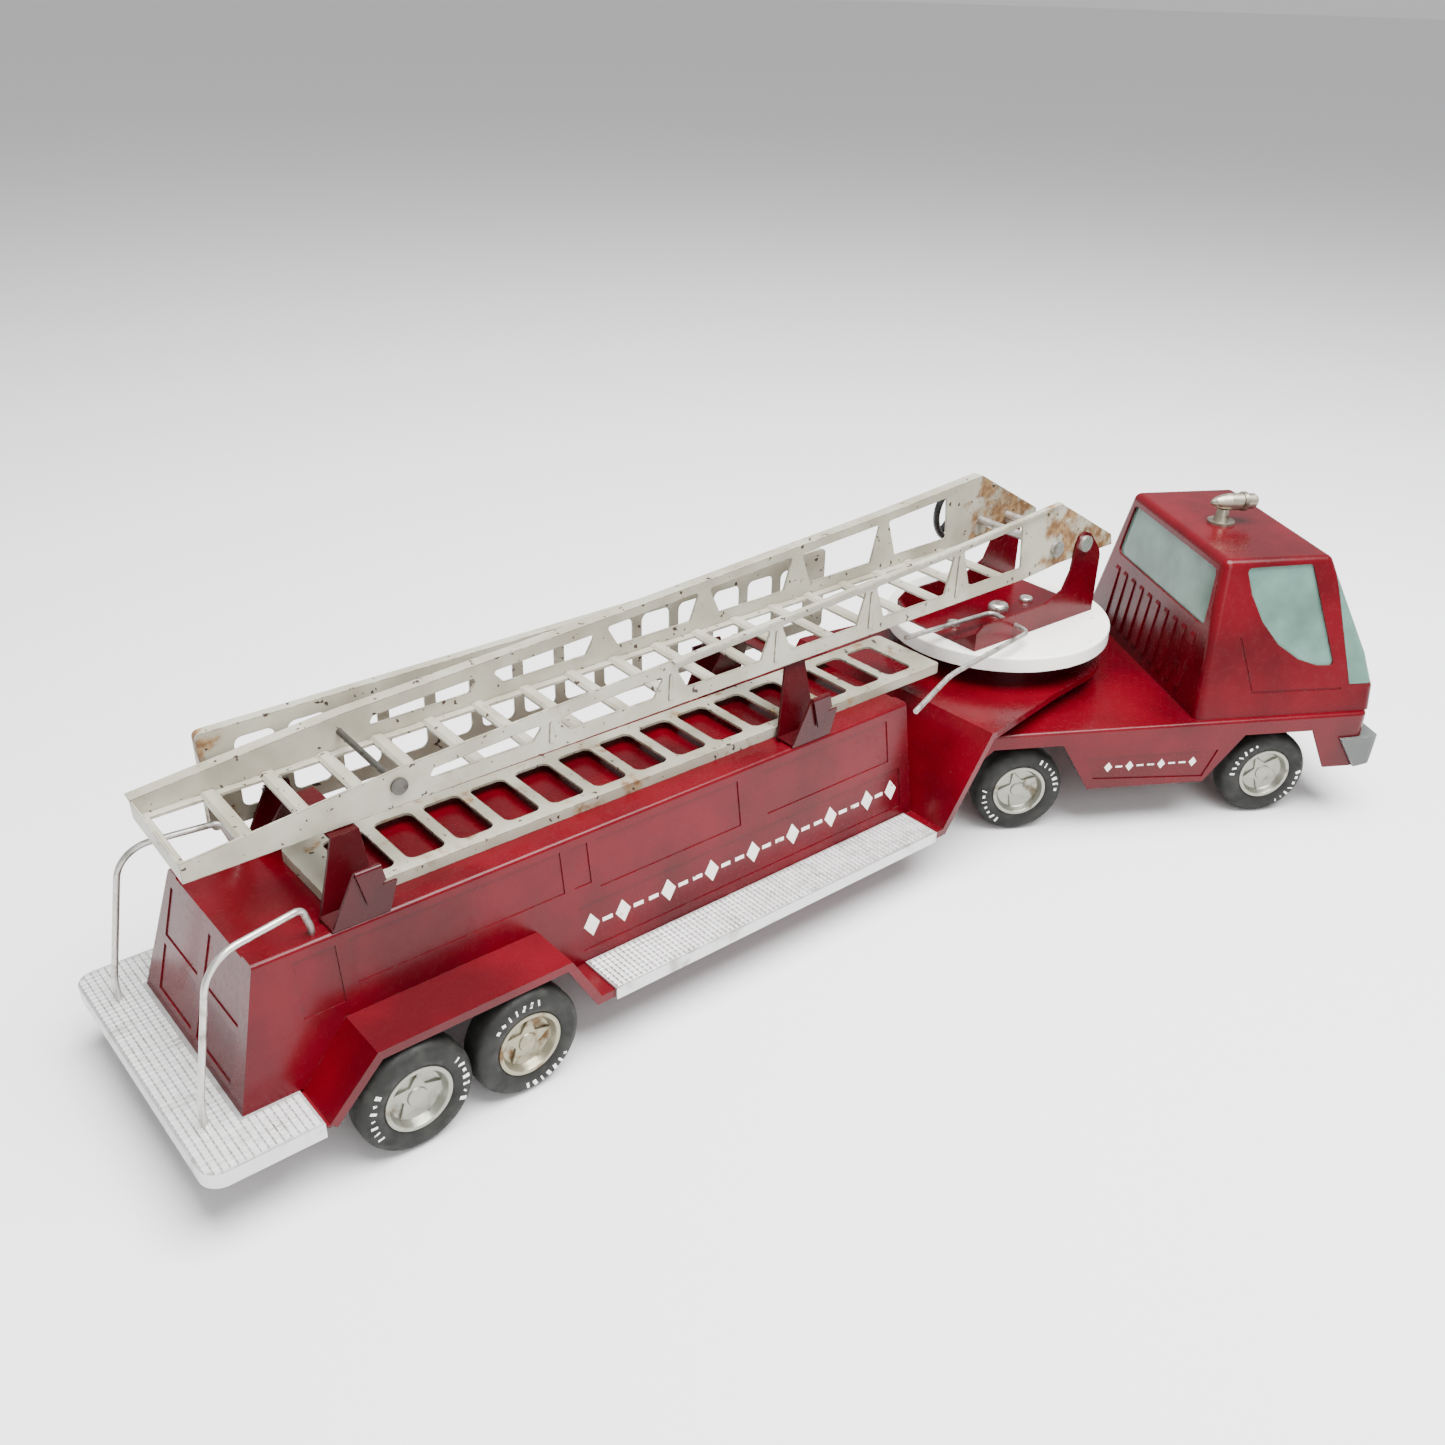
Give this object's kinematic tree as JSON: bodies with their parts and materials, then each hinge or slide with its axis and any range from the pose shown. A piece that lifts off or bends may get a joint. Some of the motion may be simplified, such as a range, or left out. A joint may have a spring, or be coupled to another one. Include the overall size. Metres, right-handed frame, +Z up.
{
  "type": "toy fire engine",
  "caption": "Pressed-steel toy articulated ladder truck: turning tractor, trailer with spare ladders and a raising aerial ladder on a turntable.",
  "frame": {"origin": "on the ground under the middle of the whole truck's box", "axes": "+X forward along the trailer, +Y to its left, +Z up"},
  "size_m": [0.7696, 0.2834, 0.1823],
  "materials": {
    "red_enamel": "gloss, chipped and rubbed",
    "dark_red_enamel": "gloss, chipped",
    "white_enamel": "gloss, chipped rim",
    "cream_enamel": "semi-gloss, chipped and rusty",
    "tread_aluminium": "embossed tread, dull",
    "zinc_wire": "zinc plated, dull",
    "bright_steel": "plated, worn",
    "plain_steel": "plain, oiled",
    "black_tyre": "matte rubber",
    "plated_hub": "plated, dull and pitted",
    "black_plastic": "gloss",
    "teal_glazing": "pale teal tint",
    "grey_bumper": "matte grey",
    "siren_silver": "worn plating"
  },
  "bodies": {
    "trailer": {"trailer_chassis": "red_enamel", "trailer_body": "red_enamel", "trailer_axle_carrier": "plain_steel", "rear_step": "tread_aluminium", "running_board_left": "tread_aluminium", "running_board_right": "tread_aluminium", "grab_rail_left": "zinc_wire", "grab_rail_right": "zinc_wire", "rear_cradle": "dark_red_enamel", "front_cradle": "dark_red_enamel", "turntable_pedestal": "dark_red_enamel", "turntable_rivet": "bright_steel"},
    "tractor": {"tractor_chassis": "red_enamel", "tractor_rear_carrier": "plain_steel", "tractor_front_carrier": "plain_steel", "cab_shell": "red_enamel", "cab_glazing": "teal_glazing", "front_bumper": "grey_bumper", "siren_foot": "siren_silver", "siren": "siren_silver", "kingpin": "bright_steel", "hitch_spacer": "plain_steel"},
    "turntable": {"turntable": "white_enamel", "pivot_bracket": "red_enamel", "bracket_screws": "bright_steel", "wire_handle": "zinc_wire", "aerial_hinge_rod": "bright_steel"},
    "aerial": {"aerial_ladder": "cream_enamel", "aerial_cross_rod": "zinc_wire"},
    "handwheel": {"handwheel_shaft": "zinc_wire", "handwheel": "black_plastic"},
    "spare_ladder": {"spare_ladder": "cream_enamel"},
    "side_ladder": {"side_ladder": "cream_enamel"},
    "trailer_rear_wheels": {"trailer_rear_axle": "plain_steel", "trailer_rear_tyres": "black_tyre", "trailer_rear_hubs": "plated_hub"},
    "trailer_front_wheels": {"trailer_front_axle": "plain_steel", "trailer_front_tyres": "black_tyre", "trailer_front_hubs": "plated_hub"},
    "tractor_rear_wheels": {"tractor_rear_axle": "plain_steel", "tractor_rear_tyres": "black_tyre", "tractor_rear_hubs": "plated_hub"},
    "tractor_front_wheels": {"tractor_front_axle": "plain_steel", "tractor_front_tyres": "black_tyre", "tractor_front_hubs": "plated_hub"}
  },
  "joints": [
    {"name": "tractor_yaw", "type": "hinge", "parent": "trailer", "child": "tractor", "pos_m": [0.1439, 0.04895, 0.075], "axis": [0, 0, 1], "range_deg": [-9.7, 70.3]},
    {"name": "turntable_turn", "type": "hinge", "parent": "trailer", "child": "turntable", "pos_m": [0.1617, 0.04895, 0.1], "axis": [0, 0, 1], "range_deg": [0, 65]},
    {"name": "aerial_raise", "type": "hinge", "parent": "turntable", "child": "aerial", "pos_m": [0.19489, 0.04797, 0.1518], "axis": [0.0297, 0.9996, 0], "range_deg": [0, 60]},
    {"name": "handwheel_spin", "type": "hinge", "parent": "aerial", "child": "handwheel", "pos_m": [0.16985, 0.04871, 0.15335], "axis": [0.0297, 0.9996, 0], "continuous": true},
    {"name": "spare_ladder_slide", "type": "slide", "parent": "trailer", "child": "spare_ladder", "axis": [1, 0, 0], "range_m": [-0.3, 0.01]},
    {"name": "side_ladder_lift", "type": "slide", "parent": "trailer", "child": "side_ladder", "axis": [0, 0, 1], "range_m": [0, 0.06]},
    {"name": "trailer_rear_roll", "type": "hinge", "parent": "trailer", "child": "trailer_rear_wheels", "pos_m": [-0.2945, 0.04895, 0.027], "axis": [0, 1, 0], "continuous": true},
    {"name": "trailer_front_roll", "type": "hinge", "parent": "trailer", "child": "trailer_front_wheels", "pos_m": [-0.2392, 0.04895, 0.027], "axis": [0, 1, 0], "continuous": true},
    {"name": "tractor_rear_roll", "type": "hinge", "parent": "tractor", "child": "tractor_rear_wheels", "pos_m": [0.14908, 0.04593, 0.027], "axis": [0.5045, 0.8634, 0], "continuous": true},
    {"name": "tractor_front_roll", "type": "hinge", "parent": "tractor", "child": "tractor_front_wheels", "pos_m": [0.28472, -0.03333, 0.027], "axis": [0.5045, 0.8634, 0], "continuous": true}
  ]
}
